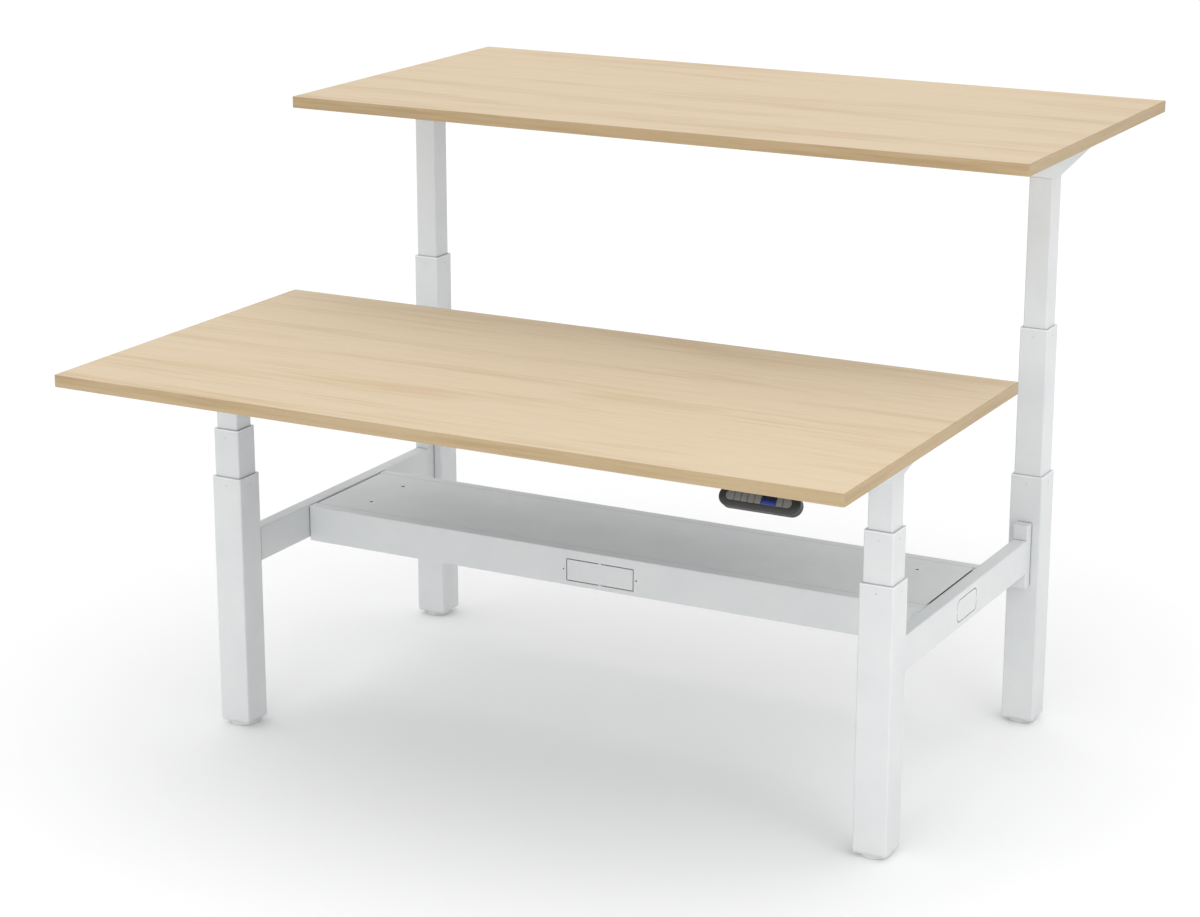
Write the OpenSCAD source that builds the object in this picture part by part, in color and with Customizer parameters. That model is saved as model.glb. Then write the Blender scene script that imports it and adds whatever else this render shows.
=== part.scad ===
// Two height-adjustable desks back to back on one shared steel frame, in millimetres.
// X runs along the desktops, Y from the front user to the back user, and Z is up.
// The origin is on the floor, under the middle of the frame.

/* [Desktops] */
// Length of each desktop
desktop_length = 1600; // [1400:50:2000]
// Depth of each desktop, from the user to the middle
desktop_depth = 800; // [700:20:900]
// Thickness of each desktop
desktop_thickness = 23; // [18:1:30]
// Gap between the two desktops
desktop_gap = 10; // [6:2:30]
// Height of the front desktop's top above the floor
front_height = 816; // [650:1:1300]
// Height of the back desktop's top above the floor
back_height = 1220; // [650:1:1300]

/* [Columns] */
// Distance from a desktop's end to the middle of its column
column_inset = 102; // [90:1:150]
// Width of the outer tube, the lowest and widest stage
outer_width = 67; // [66:1:74]
// Width that each stage loses to the one below it
stage_step = 9; // [9:0.5:10]
// Wall thickness of the column tubes
tube_wall = 2; // [1.5:0.25:2]
// Outside corner radius of the column tubes
tube_corner = 3.5; // [3:0.5:4]
// Diameter of the levelling feet
foot_diameter = 60; // [45:1:62]

/* [Frame] */
// Width of the side beams
beam_width = 30; // [24:1:44]
// Height of the side beams
beam_height = 70; // [60:1:80]
// Height of the side beams' top above the floor
beam_top = 400; // [300:5:400]
// Width of the cable duct between the side beams
duct_width = 296; // [240:2:400]
// Height of the cable duct
duct_height = 75; // [65:1:90]

/* [Handset] */
// Length of the handset
handset_length = 148; // [144:1:170]
// Distance from the middle of the desk to the middle of the handset
handset_offset = 638; // [400:1:640]
// Lean of the handset's face, away from upright
handset_tilt = 35; // [20:1:45]

/* [Hidden] */
// Every circle is drawn smooth.
$fn = 48;

// Small amount by which a cutter passes through a face
over = 1;

// Columns
foot_height = 10;
foot_edge = 3;
stud_diameter = 9.9;
stud_length = 36;
thread_diameter = 10;
foot_plate_lip = 3;
foot_plate_thickness = 9;
outer_top = 527;
stage_length = 505;
collar_lip = 3;
collar_skirt = 34;
collar_clearance = 0.3;
skirt_gap = 0.2;
mark_diameter = 3.5;
mark_depth = 0.5;
mark_drop = 16;
middle_width = outer_width - stage_step;
inner_width = middle_width - stage_step;
column_x = desktop_length / 2 - column_inset;
column_setback = 23;
column_y = desktop_gap / 2 + desktop_depth / 2 - column_setback;

// Side arms that carry the desktops
arm_height = 70;
arm_end_height = 18;
arm_reach = 350;
arm_inner_reach = 250;
arm_flat = 25;
arm_wall = 2.5;
arm_slot = 20;
cable_hole = 20;

// Height of an arm's underside, and the top of the middle stage, for a desk of height h
function underside(h) = h - desktop_thickness;
function arm_bottom(h) = underside(h) - arm_height;
function exposure(h) = (arm_bottom(h) - outer_top) / 2;
function middle_top(h) = outer_top + exposure(h);
function middle_bottom(h) = middle_top(h) - stage_length;

// Lifting drive inside each column
post_diameter = 16;
post_top = 435;
post_socket = 11;
post_socket_depth = 43;
sleeve_diameter = 22;
sleeve_length = 395;
carrier_thickness = 5;
drive_diameter = 28;
drive_length = 400;
drive_plug = 6;
drive_gap = 0.3;
sleeve_bore = post_diameter + 2 * drive_gap;
motor_diameter = 40;
motor_length = 100;
motor_plate = 6;
motor_drop = 12;
motor_clearance = 0.5;
shaft_diameter = 8;
shaft_clearance = 0.05;

// Side beams
beam_wall = 2.5;
beam_corner = 2.5;
bracket_height = 132;
bracket_depth = 25;
bracket_corner = 1.5;
bracket_y = column_y - outer_width / 2 - bracket_depth / 2;
beam_middle = beam_top - beam_height / 2;
beam_face = column_x - beam_width / 2;
knockout_length = 100;
knockout_height = 46;
knockout_corner = 12;
slot_width = 1.6;
bridge = 6;

// Cable duct
duct_wall = 1.5;
duct_corner = 2.5;
duct_top = beam_top - 2;
duct_flange = 24;
duct_ledge = 12;
end_plate = 3;
end_gap = 1;
duct_length = 2 * (beam_face - end_gap);
lid_gap = 0.8;
lid_end_gap = 4;
lid_hole_diameter = 8;
lid_hole_x = duct_length / 2 - 97;
lid_hole_y = 62;
window_length = 150;
window_height = 46;
window_rise = 33;
socket_hole_x = 81;
socket_hole_diameter = 3.2;
bolt_diameter = 8;
bolt_hole = 8.5;
bolt_head = 13;
bolt_head_height = 5;
bolt_length = 20;
bolt_positions = [-100, 0, 100];

// Desktop boards, their edging and what is fixed under them
band = 2;
band_edge = 1;
band_corner = 4;
desktop_y = desktop_gap / 2 + desktop_depth / 2;
screw_diameter = 4;
screw_depth = 15;
screw_hole = 4.6;
screw_head = 9;
screw_head_height = 2.5;
arm_screw_x = 17;
arm_screw_inset = 40;
rail_width = 40;
rail_height = 25;
rail_wall = 2;
rail_offset = 95;
box_length = 260;
box_width = 96;
box_height = 36;
box_corner = 4;
box_x = -150;
ear_length = 16;
ear_thickness = 3;
ear_screw_y = 30;
inlet_size = [28, 20];
inlet_depth = 18;
lead_socket_size = [14, 9];
lead_socket_depth = 12;
lead_socket_pitch = 28;

// Handset
handset_height = 36;
handset_depth = 22;
handset_edge = 5;
handset_drop = 14;
handset_setback = 20;
handset_wall = 2;
face_wall = 2.8;
recess = 1;
key_height = 16;
key_gap = 1.2;
key_clearance = 0.25;
key_flange = 0.45;
key_flange_thickness = 1.4;
key_flange_gap = 0.2;
key_proud = 0.8;
display_proud = 0.4;
display_slot = 5;
slot_widths = [15, 11, 11, 11, 11, 26, 11, 15];
key_numbers = [1, 2, 3, 4, 5, 6, 7];

function sum_first(list, n) = n <= 0 ? 0 : list[n - 1] + sum_first(list, n - 1);
strip_length = sum_first(slot_widths, len(slot_widths)) + key_gap * (len(slot_widths) - 1);
function slot_x(i) = sum_first(slot_widths, i) + i * key_gap + slot_widths[i] / 2 - strip_length / 2;
function key_slot(number) = number <= display_slot ? number - 1 : number;

// ---- Shared outlines ----

module rounded_rect(width, depth, corner) {
    square([width - 2 * corner, depth], center = true);
    square([width, depth - 2 * corner], center = true);
    for (x = [-1, 1], y = [-1, 1])
        translate([x * (width / 2 - corner), y * (depth / 2 - corner)])
            circle(r = corner);
}

module hollow_section(width, depth, corner, wall) {
    difference() {
        rounded_rect(width, depth, corner);
        rounded_rect(width - 2 * wall, depth - 2 * wall, max(corner - wall, wall / 4));
    }
}

// Slot that follows a rectangle's outline and leaves bridges in two of its sides
module knockout_slot(length, height, corner, bridge_size) {
    difference() {
        rounded_rect(length, height, corner);
        rounded_rect(length - 2 * slot_width, height - 2 * slot_width, corner - slot_width / 2);
        square(bridge_size, center = true);
    }
}

// Turns a flat outline so that its x lies along Y, its y along Z, and it is drawn out along X
module along_x(length) {
    rotate([90, 0, 90])
        translate([0, 0, -length / 2])
            linear_extrude(length)
                children();
}

// Plate welded into the lower end of a square tube of the given width
module tube_floor(width, thickness) {
    plate = width - tube_wall;
    linear_extrude(thickness)
        rounded_rect(plate, plate, tube_corner - tube_wall / 2);
}

// Small round press marks in the four faces of a square tube
module press_marks(width, z) {
    for (turn = [0:90:270])
        rotate([0, 0, turn])
            translate([width / 2 - mark_depth, 0, z])
                rotate([0, 90, 0])
                    cylinder(d = mark_diameter, h = mark_depth + over);
}

// Places its children on both columns of the desk that faces the front
module both_columns() {
    for (x = [-1, 1])
        translate([x * column_x, -column_y, 0])
            children();
}

module facing_back() {
    rotate([0, 0, 180])
        children();
}

// ---- Fixed frame ----

module outer_tube(x, y) {
    tube_bottom = foot_height + foot_plate_lip;
    color("whitesmoke")
        translate([x * column_x, y * column_y, 0])
            difference() {
                union() {
                    translate([0, 0, tube_bottom])
                        linear_extrude(outer_top - collar_lip - tube_bottom)
                            hollow_section(outer_width, outer_width, tube_corner, tube_wall);
                    translate([0, 0, foot_height])
                        tube_floor(outer_width, foot_plate_thickness);
                }
                translate([0, 0, foot_height - over])
                    cylinder(d = thread_diameter, h = foot_plate_thickness + 2 * over);
                press_marks(outer_width, outer_top - mark_drop);
            }
}

module foot(x, y) {
    radius = foot_diameter / 2;
    color("gainsboro")
        translate([x * column_x, y * column_y, 0]) {
            rotate_extrude() {
                square([radius - foot_edge, foot_height]);
                translate([0, foot_edge])
                    square([radius, foot_height - foot_edge]);
                translate([radius - foot_edge, foot_edge])
                    intersection() {
                        circle(r = foot_edge);
                        translate([-foot_edge, -foot_edge])
                            square(2 * foot_edge);
                    }
            }
            translate([0, 0, foot_height - over])
                cylinder(d = stud_diameter, h = stud_length + over);
        }
}

// Sliding collar in the top of a tube: a lip on the tube's end and a skirt inside it
module collar(tube_width, stage_width) {
    opening = stage_width + 2 * collar_clearance;
    skirt = tube_width - 2 * tube_wall - 2 * skirt_gap;
    translate([0, 0, -collar_lip])
        linear_extrude(collar_lip)
            difference() {
                rounded_rect(tube_width, tube_width, tube_corner);
                rounded_rect(opening, opening, tube_corner);
            }
    translate([0, 0, -collar_skirt])
        linear_extrude(collar_skirt - collar_lip + over / 2)
            difference() {
                rounded_rect(skirt, skirt, tube_corner - tube_wall);
                rounded_rect(opening, opening, tube_corner);
            }
}

module outer_collars() {
    color("white")
        for (x = [-1, 1], y = [-1, 1])
            translate([x * column_x, y * column_y, outer_top])
                collar(outer_width, middle_width);
}

module threaded_posts() {
    post_bottom = foot_height + foot_plate_thickness;
    color("silver")
        for (x = [-1, 1], y = [-1, 1])
            translate([x * column_x, y * column_y, post_bottom])
                difference() {
                    cylinder(d = post_diameter, h = post_top - post_bottom);
                    translate([0, 0, -over])
                        cylinder(d = post_socket, h = post_socket_depth + over);
                }
}

// Side beam with its two end brackets, for the right (1) or the left (-1)
module side_beam(side) {
    beam_length = 2 * (bracket_y - bracket_depth / 2);
    color("whitesmoke")
        translate([side * column_x, 0, beam_middle]) {
            difference() {
                rotate([0, 0, 90])
                    along_x(beam_length)
                        hollow_section(beam_width, beam_height, beam_corner, beam_wall);
                translate([side * (beam_width / 2 + over), 0, 0])
                    along_x(2 * (beam_wall + over))
                        knockout_slot(knockout_length, knockout_height, knockout_corner,
                                      [2 * knockout_length, bridge]);
                for (y = bolt_positions)
                    translate([-side * beam_width / 2, y, 0])
                        rotate([0, 90, 0])
                            cylinder(d = bolt_hole, h = 2 * beam_wall + over, center = true);
            }
            for (y = [-1, 1])
                translate([0, y * bracket_y, -bracket_height / 2])
                    linear_extrude(bracket_height)
                        rounded_rect(beam_width, bracket_depth, bracket_corner);
        }
}

module duct_section() {
    difference() {
        translate([0, duct_height / 2])
            hollow_section(duct_width, duct_height, duct_corner, duct_wall);
        translate([0, duct_height])
            square([duct_width - 2 * duct_flange, 4 * duct_wall], center = true);
    }
    // Step down to the ledge that the lid rests on
    for (side = [0, 1])
        mirror([side, 0])
            translate([duct_width / 2 - duct_flange, duct_height - 2 * duct_wall]) {
                square([duct_wall, 2 * duct_wall]);
                translate([-duct_ledge, 0])
                    square([duct_ledge + duct_wall, duct_wall]);
            }
}

module duct_window() {
    translate([0, 0, window_rise])
        rotate([90, 0, 0])
            linear_extrude(4 * duct_wall, center = true) {
                knockout_slot(window_length, window_height, slot_width, [bridge, 2 * window_height]);
                for (x = [-1, 1])
                    translate([x * socket_hole_x, 0])
                        circle(d = socket_hole_diameter);
            }
}

module cable_duct() {
    color("whitesmoke")
        translate([0, 0, duct_top - duct_height])
            difference() {
                along_x(duct_length)
                    duct_section();
                for (y = [-1, 1])
                    translate([0, y * duct_width / 2, 0])
                        duct_window();
            }
}

// Plates that close the duct's ends, under its ledges, and bolt to the beams
module duct_end_plates() {
    plate_height = duct_height - 3 * duct_wall;
    plate_middle = duct_top - 2 * duct_wall - plate_height / 2;
    color("whitesmoke")
        difference() {
            for (x = [-1, 1])
                translate([x * (beam_face - end_plate / 2), 0, plate_middle])
                    along_x(end_plate)
                        rounded_rect(duct_width - 2 * duct_wall, plate_height, 2 * duct_wall);
            for (x = [-1, 1], y = bolt_positions)
                translate([x * beam_face, y, beam_middle])
                    rotate([0, 90, 0])
                        cylinder(d = bolt_hole, h = 4 * end_plate, center = true);
        }
}

module duct_lid() {
    lid_width = duct_width - 2 * duct_flange - 2 * lid_gap;
    lid_length = duct_length - 2 * lid_end_gap;
    color("whitesmoke")
        translate([0, 0, duct_top - duct_wall])
            linear_extrude(duct_wall)
                difference() {
                    square([lid_length, lid_width], center = true);
                    for (x = [-1, 1], y = [-1, 1])
                        translate([x * lid_hole_x, y * lid_hole_y])
                            circle(d = lid_hole_diameter);
                }
}

module duct_bolts() {
    color("silver")
        for (x = [-1, 1], y = bolt_positions)
            translate([x * (beam_face - end_plate), y, beam_middle])
                rotate([0, x * 90, 0]) {
                    translate([0, 0, -bolt_head_height])
                        cylinder(d = bolt_head, h = bolt_head_height);
                    cylinder(d = bolt_diameter, h = bolt_length);
                }
}

// ---- Middle stages ----

module middle_tubes(h) {
    color("whitesmoke")
        both_columns()
            translate([0, 0, middle_bottom(h)])
                difference() {
                    union() {
                        linear_extrude(stage_length - collar_lip)
                            hollow_section(middle_width, middle_width, tube_corner, tube_wall);
                        tube_floor(middle_width, carrier_thickness);
                    }
                    translate([0, 0, -over])
                        cylinder(d = sleeve_bore, h = carrier_thickness + 2 * over);
                    press_marks(middle_width, stage_length - mark_drop);
                }
}

module middle_collars(h) {
    color("white")
        both_columns()
            translate([0, 0, middle_top(h)])
                collar(middle_width, inner_width);
}

module threaded_sleeves(h) {
    color("silver")
        both_columns()
            translate([0, 0, middle_bottom(h) + carrier_thickness])
                difference() {
                    cylinder(d = sleeve_diameter, h = sleeve_length);
                    translate([0, 0, -over])
                        cylinder(d = sleeve_bore, h = sleeve_length + 2 * over);
                }
}

// ---- Lifting drive ----

module motors(h) {
    plate_width = inner_width - 2 * tube_wall;
    color("dimgray")
        both_columns()
            translate([0, 0, arm_bottom(h) - motor_drop]) {
                linear_extrude(motor_plate)
                    rounded_rect(plate_width, plate_width, tube_corner - tube_wall);
                translate([0, 0, -motor_length])
                    cylinder(d = motor_diameter, h = motor_length + over);
                translate([0, 0, -motor_length - motor_clearance - drive_plug])
                    cylinder(d = shaft_diameter, h = drive_plug + motor_clearance + over);
            }
}

// Turning tube under the motor of the right (1) or left (-1) column
module drive_tube(side, h) {
    drive_top = arm_bottom(h) - motor_drop - motor_length - motor_clearance;
    color("silver")
        translate([side * column_x, -column_y, drive_top - drive_length])
            difference() {
                cylinder(d = drive_diameter, h = drive_length);
                translate([0, 0, -over])
                    cylinder(d = sleeve_diameter + 2 * drive_gap, h = drive_length - drive_plug + over);
                cylinder(d = shaft_diameter + 2 * shaft_clearance, h = drive_length + over);
            }
}

// ---- Moving desk ----

module inner_tubes(h) {
    color("whitesmoke")
        both_columns()
            translate([0, 0, arm_bottom(h) - stage_length])
                linear_extrude(stage_length)
                    hollow_section(inner_width, inner_width, tube_corner, tube_wall);
}

// Outline of a side arm, deepest over the column, with every face moved in by inset
// Side view of an arm: x from the column towards the middle of the desks, y up
module arm_outline(inset) {
    outer_end = inset - arm_reach;
    inner_end = arm_inner_reach - inset;
    polygon([
        [outer_end, -inset],
        [inner_end, -inset],
        [inner_end, inset - arm_end_height],
        [arm_flat, inset - arm_height],
        [-arm_flat, inset - arm_height],
        [outer_end, inset - arm_end_height]
    ]);
}

module side_arms(h) {
    slot_length = arm_reach + arm_inner_reach - 2 * arm_screw_x;
    color("whitesmoke")
        both_columns()
            translate([0, 0, underside(h)])
                difference() {
                    along_x(inner_width)
                        arm_outline(0);
                    along_x(inner_width - 2 * arm_wall)
                        arm_outline(arm_wall);
                    translate([0, (arm_inner_reach - arm_reach) / 2, 0])
                        cube([arm_slot, slot_length, 3 * arm_wall], center = true);
                    translate([0, 0, -arm_height - over])
                        cylinder(d = cable_hole, h = 2 * arm_wall + over);
                    arm_screw_places()
                        cylinder(d = screw_hole, h = 3 * arm_wall, center = true);
                }
}

module arm_screw_places() {
    for (x = [-1, 1], y = [arm_screw_inset - arm_reach, arm_inner_reach - arm_screw_inset])
        translate([x * arm_screw_x, y, 0])
            children();
}

module support_rails(h) {
    color("whitesmoke")
        for (y = [-1, 1])
            translate([0, y * rail_offset - column_y, underside(h) - rail_height / 2])
                along_x(2 * column_x - inner_width)
                    hollow_section(rail_width, rail_height, beam_corner, rail_wall);
}

module box_screw_places() {
    for (x = [-1, 1], y = [-1, 1])
        translate([box_x + x * (box_length + ear_length) / 2, y * ear_screw_y - column_y, 0])
            children();
}

module screws(h) {
    color("silver")
        translate([0, 0, underside(h)]) {
            both_columns()
                arm_screw_places()
                    screw(arm_wall);
            box_screw_places()
                screw(ear_thickness);
        }
}

// Pan head screw whose head bears on the underside of a plate of the given thickness
module screw(plate) {
    translate([0, 0, -plate - screw_head_height])
        cylinder(d = screw_head, h = screw_head_height);
    translate([0, 0, -plate - over])
        cylinder(d = screw_diameter, h = plate + over + screw_depth);
}

module desktop(h) {
    color("burlywood")
        difference() {
            translate([0, -desktop_y, underside(h)])
                linear_extrude(desktop_thickness)
                    rounded_rect(desktop_length - 2 * band, desktop_depth - 2 * band, band_corner - band);
            translate([0, 0, underside(h)]) {
                both_columns()
                    arm_screw_places()
                        cylinder(d = screw_diameter, h = 2 * screw_depth, center = true);
                box_screw_places()
                    cylinder(d = screw_diameter, h = 2 * screw_depth, center = true);
            }
        }
}

// Cross-section of the edging: x outwards from the board, y up
module band_section() {
    square([band - band_edge, desktop_thickness]);
    translate([0, band_edge])
        square([band, desktop_thickness - 2 * band_edge]);
    for (y = [band_edge, desktop_thickness - band_edge])
        translate([band - band_edge, y])
            circle(r = band_edge);
}

// One long run of edging, one short run and the corner between them
module band_quarter(length, depth) {
    translate([length / 2 - band_corner, depth / 2 - band_corner, 0])
        rotate_extrude(angle = 90)
            translate([band_corner - band, 0])
                band_section();
    translate([length / 2 - band, 0, 0])
        rotate([90, 0, 0])
            linear_extrude(depth - 2 * band_corner, center = true)
                band_section();
    translate([0, depth / 2 - band, 0])
        rotate([90, 0, 90])
            linear_extrude(length - 2 * band_corner, center = true)
                band_section();
}

module edge_band(h) {
    color("tan")
        translate([0, -desktop_y, underside(h)]) {
            band_quarter(desktop_length, desktop_depth);
            rotate([0, 0, 180])
                band_quarter(desktop_length, desktop_depth);
            mirror([1, 0, 0])
                band_quarter(desktop_length, desktop_depth);
            mirror([0, 1, 0])
                band_quarter(desktop_length, desktop_depth);
        }
}

module control_box(h) {
    color("dimgray")
        translate([box_x, -column_y, underside(h)]) {
            difference() {
                translate([0, 0, -box_height / 2])
                    along_x(box_length)
                        rounded_rect(box_width, box_height, box_corner);
                // Mains inlet in one end, lead sockets in the other
                translate([box_length / 2, 0, -box_height / 2])
                    cube([2 * inlet_depth, inlet_size[0], inlet_size[1]], center = true);
                for (y = [-1, 0, 1])
                    translate([-box_length / 2, y * lead_socket_pitch, -box_height / 2])
                        cube([2 * lead_socket_depth, lead_socket_size[0], lead_socket_size[1]],
                            center = true);
            }
            for (x = [-1, 1])
                translate([x * (box_length + ear_length) / 2, 0, -ear_thickness / 2])
                    difference() {
                        cube([ear_length, box_width - 2 * box_corner, ear_thickness], center = true);
                        for (y = [-1, 1])
                            translate([0, y * ear_screw_y, 0])
                                cylinder(d = screw_hole, h = 2 * ear_thickness, center = true);
                    }
        }
}

// ---- Handset: its face is drawn flat at z = 0 and then leaned back under the desktop ----

module at_handset(h) {
    translate([handset_offset, handset_setback - desktop_gap / 2 - desktop_depth,
            underside(h) - handset_drop])
        rotate([90 - handset_tilt, 0, 0])
            children();
}

// Flat bar with round ends and rounded long edges
module soft_bar(length, width, depth, edge) {
    run = length - width;
    translate([0, 0, -depth / 2]) {
        along_x(run)
            rounded_rect(width, depth, edge);
        for (turn = [0, 180])
            rotate([0, 0, turn])
                translate([run / 2, 0, 0])
                    rotate([0, 0, -90])
                        rotate_extrude(angle = 180)
                            intersection() {
                                rounded_rect(width, depth, edge);
                                translate([0, -depth])
                                    square([width, 2 * depth]);
                            }
    }
}

// Flat outline with straight sides and round ends
module round_ended(length, width) {
    square([length - width, width], center = true);
    for (x = [-1, 1])
        translate([x * (length - width) / 2, 0])
            circle(d = width);
}

module strip_outline(margin) {
    round_ended(strip_length + 2 * margin, key_height + 2 * margin);
}

// Outline of one place in the key strip, grown by margin on every side
module slot_outline(i, margin) {
    intersection() {
        strip_outline(margin);
        translate([slot_x(i), 0])
            square([slot_widths[i] + 2 * margin, 2 * key_height], center = true);
    }
}

// Point on the handset's end view: up along its face and out of it, given as [y, z] from the underside
function handset_point(up, out) = [
    handset_setback - desktop_gap / 2 - desktop_depth + up * sin(handset_tilt) - out * cos(handset_tilt),
    up * cos(handset_tilt) + out * sin(handset_tilt) - handset_drop
];

// Wedge that fills the space between the handset's sloping top and the desktop
module handset_wedge(h) {
    up = (handset_height - handset_wall) / 2;
    near = handset_point(up, -handset_edge);
    far = handset_point(up, handset_edge - handset_depth);
    translate([handset_offset, 0, underside(h)])
        along_x(handset_length - handset_height - 2 * handset_wall)
            polygon([near, far, [far[0], 0], [near[0], 0]]);
}

module handset(h) {
    color("dimgray") {
        handset_wedge(h);
        difference() {
            at_handset(h)
                difference() {
                    soft_bar(handset_length, handset_height, handset_depth, handset_edge);
                    translate([0, 0, handset_wall - handset_depth])
                        linear_extrude(handset_depth - handset_wall - face_wall)
                            round_ended(handset_length - 2 * handset_wall, handset_height - 2 * handset_wall);
                    translate([0, 0, -recess])
                        linear_extrude(recess + over)
                            strip_outline(key_gap);
                    translate([0, 0, -face_wall - over])
                        linear_extrude(face_wall + over)
                            for (i = [0 : len(slot_widths) - 1])
                                slot_outline(i, i == display_slot ? 0 : key_clearance);
                }
            translate([handset_offset, -desktop_y, underside(h) + handset_height])
                cube([2 * handset_length, desktop_depth, 2 * handset_height], center = true);
        }
    }
}

module display(h) {
    color("navy")
        at_handset(h)
            translate([0, 0, -face_wall])
                linear_extrude(face_wall - recess + display_proud)
                    slot_outline(display_slot, 0);
}

module key(number, h) {
    flange_top = -face_wall - key_flange_gap;
    color("gray")
        at_handset(h) {
            translate([0, 0, flange_top - key_flange_thickness])
                linear_extrude(key_proud - recess - flange_top + key_flange_thickness)
                    slot_outline(key_slot(number), 0);
            translate([0, 0, flange_top - key_flange_thickness])
                linear_extrude(key_flange_thickness)
                    slot_outline(key_slot(number), key_flange);
        }
}

// ---- Every node ----

outer_tube(-1, -1);  // outer_tube_front_left
outer_tube(1, -1);  // outer_tube_front_right
outer_tube(-1, 1);  // outer_tube_back_left
outer_tube(1, 1);  // outer_tube_back_right
foot(-1, -1);  // foot_front_left
foot(1, -1);  // foot_front_right
foot(-1, 1);  // foot_back_left
foot(1, 1);  // foot_back_right
outer_collars();
threaded_posts();
side_beam(-1);  // side_beam_left
side_beam(1);  // side_beam_right
cable_duct();
duct_end_plates();
duct_lid();
duct_bolts();
middle_tubes(front_height);  // front_middle_tubes
middle_collars(front_height);  // front_middle_collars
threaded_sleeves(front_height);  // front_threaded_sleeves
inner_tubes(front_height);  // front_inner_tubes
motors(front_height);  // front_motors
drive_tube(-1, front_height);  // front_drive_tube_left
drive_tube(1, front_height);  // front_drive_tube_right
side_arms(front_height);  // front_side_arms
support_rails(front_height);  // front_support_rails
desktop(front_height);  // front_desktop
edge_band(front_height);  // front_edge_band
screws(front_height);  // front_screws
control_box(front_height);  // front_control_box
handset(front_height);  // front_handset
display(front_height);  // front_display
facing_back() middle_tubes(back_height);  // back_middle_tubes
facing_back() middle_collars(back_height);  // back_middle_collars
facing_back() threaded_sleeves(back_height);  // back_threaded_sleeves
facing_back() inner_tubes(back_height);  // back_inner_tubes
facing_back() motors(back_height);  // back_motors
facing_back() drive_tube(1, back_height);  // back_drive_tube_left
facing_back() drive_tube(-1, back_height);  // back_drive_tube_right
facing_back() side_arms(back_height);  // back_side_arms
facing_back() support_rails(back_height);  // back_support_rails
facing_back() desktop(back_height);  // back_desktop
facing_back() edge_band(back_height);  // back_edge_band
facing_back() screws(back_height);  // back_screws
facing_back() control_box(back_height);  // back_control_box
facing_back() handset(back_height);  // back_handset
facing_back() display(back_height);  // back_display
for (number = key_numbers) {
    key(number, front_height);
    facing_back() key(number, back_height);
}
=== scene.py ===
"""Looks for two height-adjustable desks that stand back to back: materials, edges, light and camera."""
import math

import bpy
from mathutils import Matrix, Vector

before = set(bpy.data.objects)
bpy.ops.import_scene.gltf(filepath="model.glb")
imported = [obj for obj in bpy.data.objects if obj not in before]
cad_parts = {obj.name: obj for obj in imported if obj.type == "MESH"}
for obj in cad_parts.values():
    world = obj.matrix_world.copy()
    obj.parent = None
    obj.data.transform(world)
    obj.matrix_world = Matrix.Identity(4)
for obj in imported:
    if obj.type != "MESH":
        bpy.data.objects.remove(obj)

# Rays that each shading point sends out to find rounded edges and seams
EDGE_SAMPLES = 6
SEAM_SAMPLES = 8

# Span of a noise value that is spread over a whole colour or roughness range
NOISE_LOW, NOISE_HIGH = 0.3, 0.7

# Half the floor's width, and the middle of the desks, which the fill light aims at, in metres
FLOOR_HALF = 40.0
DESK_MIDDLE = (0.0, 0.0, 0.6)

# Camera at the photograph's viewing angle: place in metres, tilt down and turn in degrees
LENS_MM, SENSOR_MM = 87.3, 36.0
CAMERA_PLACE = (2.568, -4.940, 2.192)
CAMERA_DOWN, CAMERA_TURN = 16.37, 28.18

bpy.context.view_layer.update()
scene = bpy.context.scene


# ---- Node helpers ----

def srgb(red, green, blue):
    """A colour as Blender's linear values, from 0 to 255 display values."""
    def linear(value):
        value /= 255
        return value / 12.92 if value <= 0.04045 else ((value + 0.055) / 1.055) ** 2.4
    return (linear(red), linear(green), linear(blue), 1.0)


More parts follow.
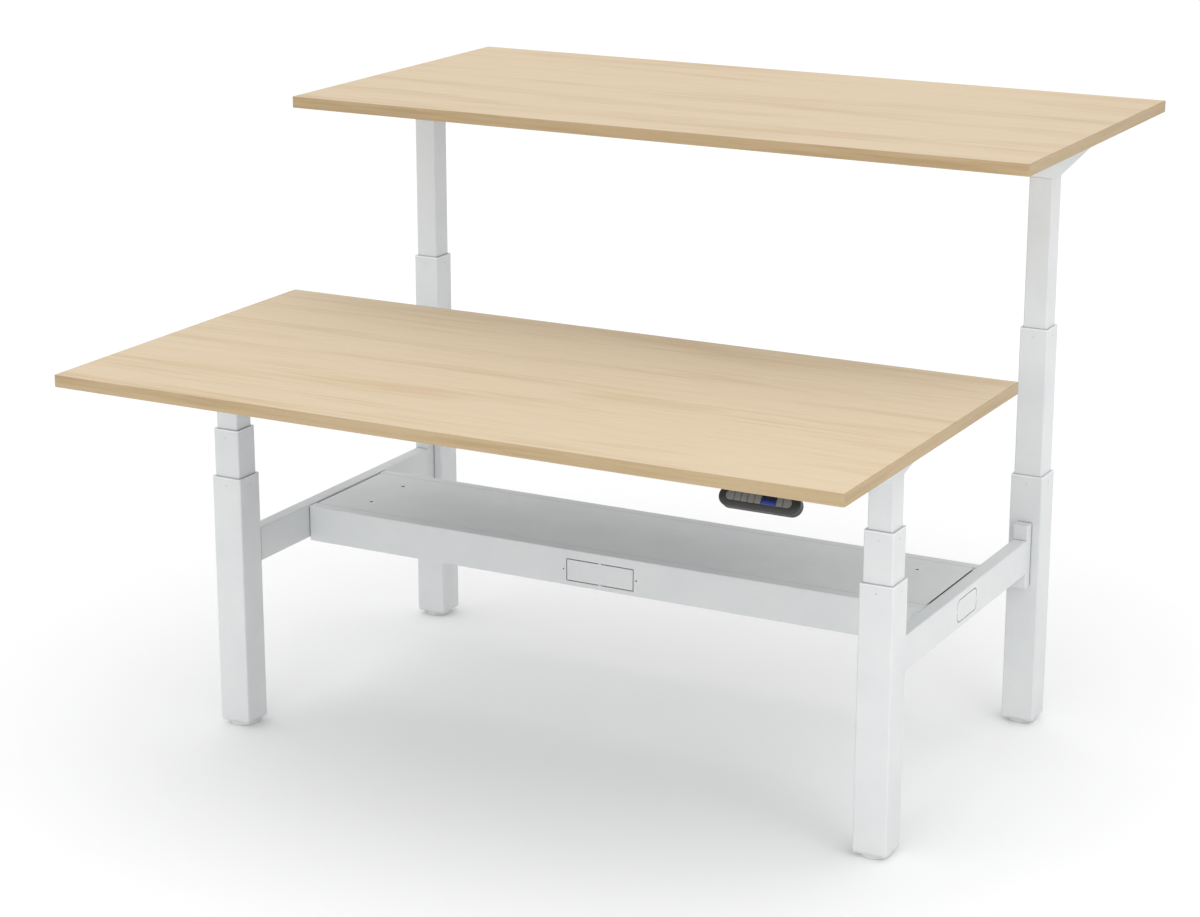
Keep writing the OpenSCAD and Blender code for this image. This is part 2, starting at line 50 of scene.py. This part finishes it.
class Material:
    """A material with a Principled shader and short calls for adding nodes to it."""

    def __init__(self, name, **shader):
        self.data = bpy.data.materials.new(name)
        self.data.use_nodes = True
        self.tree = self.data.node_tree
        self.shader = self.tree.nodes["Principled BSDF"]
        for socket, value in shader.items():
            self.shader.inputs[socket.replace("_", " ")].default_value = value

    def add(self, kind, out=0, inputs=None, **settings):
        """Adds a node, sets its properties and inputs, and returns one of its outputs."""
        made = self.tree.nodes.new("ShaderNode" + kind)
        for key, value in settings.items():
            setattr(made, key, value)
        for key, value in (inputs or {}).items():
            self.feed(made, key, value)
        return made.outputs[out]

    def feed(self, made, key, value):
        if isinstance(value, bpy.types.NodeSocket):
            self.tree.links.new(value, made.inputs[key])
        else:
            made.inputs[key].default_value = value

    def set(self, socket, value):
        self.feed(self.shader, socket, value)

    def place(self):
        """Position on the piece, in metres in the row frame at rest."""
        return self.add("TexCoord", out="Object")

    def stretched(self, scale, place=None):
        return self.add("Mapping", inputs={"Vector": place or self.place(), "Scale": scale})

    def noise(self, vector, scale, detail=2.0, rough=0.5, distort=0.0):
        return self.add("TexNoise", out="Fac", inputs={
            "Vector": vector, "Scale": scale, "Detail": detail,
            "Roughness": rough, "Distortion": distort,
        })

    def ramp(self, factor, *stops):
        """Colour ramp through (position, colour) stops."""
        made = self.tree.nodes.new("ShaderNodeValToRGB")
        band = made.color_ramp
        while len(band.elements) < len(stops):
            band.elements.new(0.5)
        for element, (position, colour) in zip(band.elements, stops):
            element.position, element.color = position, colour
        self.tree.links.new(factor, made.inputs["Fac"])
        return made.outputs["Color"]

    def spread(self, value, from_low, from_high, to_low, to_high):
        return self.add("MapRange", inputs={
            "Value": value, "From Min": from_low, "From Max": from_high,
            "To Min": to_low, "To Max": to_high,
        })

    def mix(self, factor, first, second, blend="MIX"):
        made = self.tree.nodes.new("ShaderNodeMix")
        made.data_type, made.blend_type = "RGBA", blend
        for index, value in ((0, factor), (6, first), (7, second)):
            self.feed(made, index, value)
        return made.outputs[2]

    def maths(self, operation, first, second=0.0):
        return self.add("Math", operation=operation, inputs={0: first, 1: second})

    def edges(self, radius):
        """(rounded normal, 1 on an edge and 0 away from it)."""
        soft = self.add("Bevel", inputs={"Radius": radius}, samples=EDGE_SAMPLES)
        flat = self.add("NewGeometry", out="Normal")
        along = self.add("VectorMath", out="Value", operation="DOT_PRODUCT",
                         inputs={0: soft, 1: flat})
        return soft, self.spread(along, 0.995, 0.8, 0.0, 1.0)

    def painted_crevice_shade(self, reach):
        """Painted shade: up to 0.7 in seams, press marks and inside corners, where little light reaches,
        and 0 on open faces.
        """
        open_sky = self.add("AmbientOcclusion", out="AO", inputs={"Distance": reach},
                            samples=SEAM_SAMPLES)
        return self.spread(open_sky, 0.82, 0.45, 0.0, 0.7)

    def bump(self, height, distance, strength=1.0, normal=None):
        inputs = {"Height": height, "Distance": distance, "Strength": strength}
        if normal is not None:
            inputs["Normal"] = normal
        return self.add("Bump", inputs=inputs)


# ---- Materials ----

def powder_coat():
    """White satin powder coat: fine orange peel, faint mottling, slightly paler edges and painted shade in
    its seams and press marks.
    """
    made = Material("white_powder_coat", Specular_IOR_Level=0.45)
    soft, edge = made.edges(0.0012)
    mottle = made.noise(made.place(), 9.0, 3.0, 0.6)
    tone = made.ramp(mottle, (NOISE_LOW, srgb(219, 221, 222)), (NOISE_HIGH, srgb(225, 227, 227)))
    tone = made.mix(made.maths("MULTIPLY", edge, 0.4), tone, srgb(238, 239, 239))
    # Painted shade: seams, press marks and inside corners are mixed toward dark grey
    made.set("Base Color", made.mix(made.painted_crevice_shade(0.004), tone, srgb(112, 113, 115)))
    peel = made.noise(made.place(), 850.0, 2.0, 0.45)
    grit = made.noise(made.place(), 3200.0, 1.0)
    height = made.maths("MULTIPLY_ADD", grit, 0.3)
    made.tree.links.new(peel, height.node.inputs[2])
    made.set("Normal", made.bump(height, 0.00012, 0.35, soft))
    smear = made.noise(made.stretched((4.0, 4.0, 1.2)), 2.0, 3.0)
    made.set("Roughness", made.spread(smear, NOISE_LOW, NOISE_HIGH, 0.37, 0.47))
    return made.data


def plastic(name, colour, edge_colour, roughness, grain, depth):
    """Moulded plastic with a fine erosion texture and paler edges."""
    made = Material(name, Specular_IOR_Level=0.5)
    soft, edge = made.edges(0.0005)
    cloud = made.noise(made.place(), 60.0, 3.0)
    dim = tuple(channel * 0.93 for channel in colour[:3]) + (1.0,)
    tone = made.ramp(cloud, (NOISE_LOW, dim), (NOISE_HIGH, colour))
    made.set("Base Color", made.mix(made.maths("MULTIPLY", edge, 0.6), tone, edge_colour))
    texture = made.noise(made.place(), grain, 3.0, 0.6)
    made.set("Normal", made.bump(texture, depth, 0.5, soft))
    made.set("Roughness", made.spread(cloud, NOISE_LOW, NOISE_HIGH, roughness - 0.04, roughness + 0.04))
    return made.data


def wood(name, pale, warm, pore, roughness, ends=False, grey_underside_shade=None):
    """Wood-look laminate. The grain runs along X, or along Y on end faces where ends is true.

    A grey colour covers the underside, shown as a plain balancing sheet; its grey is painted shade, chosen
    to cut the warm bounce light onto the duct lid below.
    """
    made = Material(name, Specular_IOR_Level=0.2)
    place = made.place()
    if ends:
        split = made.add("SeparateXYZ", inputs={0: place})
        swapped = made.add("CombineXYZ", inputs={
            0: split.node.outputs[1], 1: split, 2: split.node.outputs[2],
        })
        side = made.add("SeparateXYZ", inputs={0: made.add("TexCoord", out="Normal")})
        facing_end = made.maths("GREATER_THAN", made.maths("ABSOLUTE", side), 0.7)
        place = made.mix(facing_end, place, swapped)
    flow = made.noise(made.stretched((0.5, 1.6, 1.6), place), 1.4, 2.0)
    drift = made.maths("MULTIPLY", flow, 0.022)
    shift = made.add("CombineXYZ", inputs={1: drift, 2: drift})
    bent = made.add("VectorMath", operation="ADD", inputs={0: place, 1: shift})
    broad = made.noise(made.stretched((0.9, 9.0, 9.0), bent), 1.5, 3.0, 0.45)
    streak = made.noise(made.stretched((2.4, 78.0, 78.0), bent), 1.5, 4.0, 0.6)
    fine = made.noise(made.stretched((7.0, 330.0, 330.0), bent), 1.3, 3.0, 0.6)
    figure = made.maths("ADD", made.maths("MULTIPLY", broad, 0.5), made.maths("MULTIPLY", streak, 0.5))
    between = tuple(0.6 * light + 0.4 * dark for light, dark in zip(pale, warm))
    tone = made.ramp(figure, (0.38, warm), (0.52, pale), (0.66, between))
    line = made.spread(fine, 0.45, 0.72, 0.0, 0.30)
    tone = made.mix(line, tone, warm)
    ticks = made.noise(made.stretched((38.0, 900.0, 900.0), bent), 1.0, 1.0)
    gate = made.maths("MULTIPLY", made.spread(ticks, 0.66, 0.74, 0.0, 1.0),
                      made.spread(streak, 0.4, 0.65, 0.15, 0.75))
    tone = made.mix(made.maths("MULTIPLY", gate, 0.5), tone, pore)
    # Grey underside: painted shade, chosen to darken the bounce light onto the duct lid below
    if grey_underside_shade:
        up = made.add("SeparateXYZ", out="Z", inputs={0: made.add("TexCoord", out="Normal")})
        tone = made.mix(made.maths("LESS_THAN", up, -0.5), tone, grey_underside_shade)
    made.set("Base Color", tone)
    relief = made.maths("SUBTRACT", made.maths("MULTIPLY", fine, 0.4), gate)
    made.set("Normal", made.bump(relief, 0.00010, 0.35, made.edges(0.0006)[0]))
    made.set("Roughness", made.spread(streak, NOISE_LOW, NOISE_HIGH, roughness - 0.05, roughness + 0.05))
    return made.data


def metal(name, colour, roughness, scale):
    """Bare or plated metal with drawn lines and small changes of shine."""
    made = Material(name, Metallic=1.0)
    lines = made.noise(made.stretched(scale), 1.0, 4.0, 0.6)
    dim = tuple(channel * 0.82 for channel in colour[:3]) + (1.0,)
    made.set("Base Color", made.ramp(lines, (NOISE_LOW, dim), (NOISE_HIGH, colour)))
    made.set("Roughness", made.spread(lines, NOISE_LOW, NOISE_HIGH, roughness - 0.08, roughness + 0.1))
    made.set("Normal", made.bump(lines, 0.00003, 0.4, made.edges(0.0004)[0]))
    return made.data


def black_paint():
    """Black paint on the motors, worn paler on the edges."""
    made = Material("motor_black", Roughness=0.4)
    soft, edge = made.edges(0.0008)
    peel = made.noise(made.place(), 700.0, 2.0)
    worn = made.maths("MULTIPLY", edge, 0.5)
    made.set("Base Color", made.mix(worn, srgb(30, 30, 31), srgb(92, 92, 94)))
    made.set("Normal", made.bump(peel, 0.0001, 0.4, soft))
    return made.data


def display_window():
    """Glossy window, lit blue along its lower part and near black above."""
    made = Material("display_blue", Roughness=0.12, Coat_Weight=0.6, Coat_Roughness=0.05)
    up = made.add("SeparateXYZ", out="Z", inputs={0: made.add("TexCoord", out="Generated")})
    glow = made.noise(made.place(), 260.0, 2.0)
    level = made.maths("MULTIPLY_ADD", glow, 0.08)
    made.tree.links.new(up, level.node.inputs[2])
    colour = made.ramp(level, (0.36, srgb(32, 56, 136)), (0.58, srgb(16, 22, 62)),
                       (0.85, srgb(12, 15, 42)))
    made.set("Base Color", colour)
    made.set("Emission Color", colour)
    made.set("Emission Strength", 0.2)
    return made.data


LOOKS = {
    "white_powder_coat": powder_coat(),
    "foot_plastic": plastic("foot_plastic", srgb(222, 223, 223), srgb(240, 240, 240),
                            0.5, 1500.0, 0.00008),
    "collar_plastic": plastic("collar_plastic", srgb(238, 239, 240), srgb(248, 248, 248),
                              0.36, 2200.0, 0.00004),
    # The desktops' grey underside is painted shade that cuts the bounce light onto the duct lid
    "oak_laminate": wood("oak_laminate", srgb(219, 200, 171), srgb(206, 182, 148),
                         srgb(174, 147, 111), 0.5, grey_underside_shade=srgb(150, 151, 152)),
    "oak_edge": wood("oak_edge", srgb(188, 166, 132), srgb(173, 149, 113),
                     srgb(160, 132, 95), 0.46, ends=True),
    "drive_steel": metal("drive_steel", srgb(196, 198, 200), 0.28, (60.0, 60.0, 3.0)),
    "zinc_fastener": metal("zinc_fastener", srgb(205, 208, 212), 0.32, (400.0, 400.0, 400.0)),
    "motor_black": black_paint(),
    "box_black": plastic("box_black", srgb(38, 38, 40), srgb(70, 70, 72), 0.52, 1300.0, 0.0001),
    "handset_black": plastic("handset_black", srgb(45, 43, 42), srgb(112, 109, 106),
                             0.44, 2600.0, 0.00006),
    "key_grey": plastic("key_grey", srgb(124, 123, 118), srgb(170, 169, 164),
                        0.48, 3200.0, 0.00004),
    "display_blue": display_window(),
}

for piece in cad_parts.values():
    for material_slot in piece.material_slots:
        material_slot.material = LOOKS[material_slot.material.name.split(".")[0]]


# ---- Floor, light and camera ----

def floor():
    mesh = bpy.data.meshes.new("floor")
    mesh.from_pydata([(x * FLOOR_HALF, y * FLOOR_HALF, 0) for x, y in ((-1, -1), (1, -1), (1, 1), (-1, 1))],
                     [], [(0, 1, 2, 3)])
    made = bpy.data.objects.new("floor", mesh)
    scene.collection.objects.link(made)
    paint = Material("floor_pale", Base_Color=(0.96, 0.96, 0.96, 1.0), Roughness=0.85,
                     Specular_IOR_Level=0.2)
    mesh.materials.append(paint.data)


def soft_light(name, place, target, size, power):
    """Round soft light that the camera doesn't see."""
    lamp = bpy.data.lights.new(name, "AREA")
    lamp.shape, lamp.size, lamp.energy = "DISK", size, power
    made = bpy.data.objects.new(name, lamp)
    made.location = place
    made.visible_camera = False
    made.rotation_euler = (Vector(target) - Vector(place)).to_track_quat("-Z", "Y").to_euler()
    scene.collection.objects.link(made)


def dome():
    """White surroundings that are brighter overhead than at the horizon."""
    world = bpy.data.worlds.new("studio")
    world.use_nodes = True
    tree = world.node_tree
    direction = tree.nodes.new("ShaderNodeTexCoord")
    split = tree.nodes.new("ShaderNodeSeparateXYZ")
    height = tree.nodes.new("ShaderNodeMapRange")
    height.interpolation_type = "SMOOTHSTEP"
    for key, value in (("From Min", 0.0), ("From Max", 0.9), ("To Min", 0.46), ("To Max", 1.30)):
        height.inputs[key].default_value = value
    tree.links.new(direction.outputs["Generated"], split.inputs[0])
    tree.links.new(split.outputs["Z"], height.inputs["Value"])
    tree.links.new(height.outputs[0], tree.nodes["Background"].inputs["Strength"])
    tree.nodes["Background"].inputs["Color"].default_value = (1.0, 1.0, 1.0, 1.0)
    scene.world = world


def camera():
    lens = bpy.data.cameras.new("camera")
    lens.lens, lens.sensor_width = LENS_MM, SENSOR_MM
    made = bpy.data.objects.new("camera", lens)
    made.location = CAMERA_PLACE
    made.rotation_euler = (math.radians(90 - CAMERA_DOWN), 0.0, math.radians(CAMERA_TURN))
    scene.collection.objects.link(made)
    scene.camera = made


floor()
soft_light("key", (2.4, -1.1, 1.6), (0.6, -0.1, 0.5), 1.2, 6.5)
soft_light("fill", (0.6, -5.6, 1.7), DESK_MIDDLE, 2.4, 42.0)
dome()
scene.view_settings.view_transform = "Standard"
camera()
